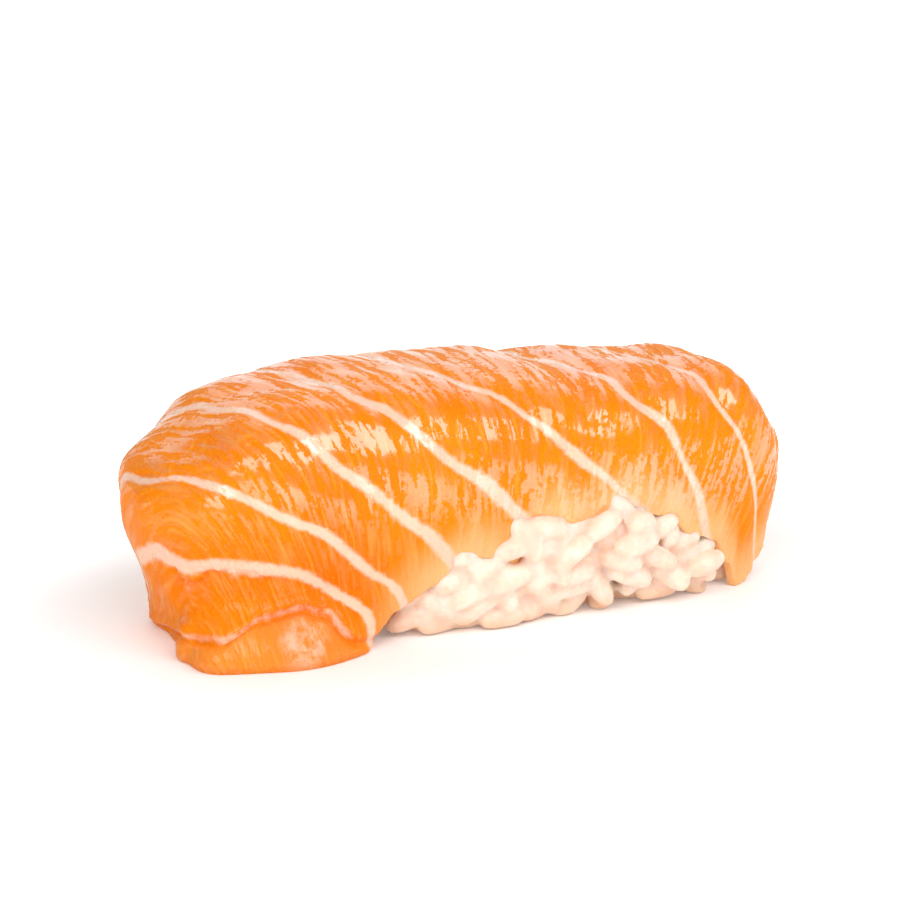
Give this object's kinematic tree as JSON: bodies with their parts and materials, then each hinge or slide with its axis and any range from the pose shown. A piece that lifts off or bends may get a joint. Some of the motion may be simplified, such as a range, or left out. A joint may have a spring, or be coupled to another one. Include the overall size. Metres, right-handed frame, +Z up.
{
  "type": "salmon nigiri",
  "caption": "Salmon nigiri: a slice of raw salmon draped over a pressed oblong block of rice, one end turned out as a foot and one corner hanging to a point.",
  "frame": {"origin": "centre of the bounding box in plan, on the board the piece lies on", "axes": "+X along the length towards the end with the hanging point, -Y towards the open front where the rice shows, +Z up"},
  "size_m": [0.0832, 0.0352, 0.0294],
  "materials": {
    "salmon_flesh": "moist satin flesh, orange with pale fat lines",
    "cooked_rice": "sticky, faintly translucent white"
  },
  "bodies": {
    "root": {"salmon_slice": "salmon_flesh", "rice_block": "cooked_rice"}
  },
  "joints": []
}
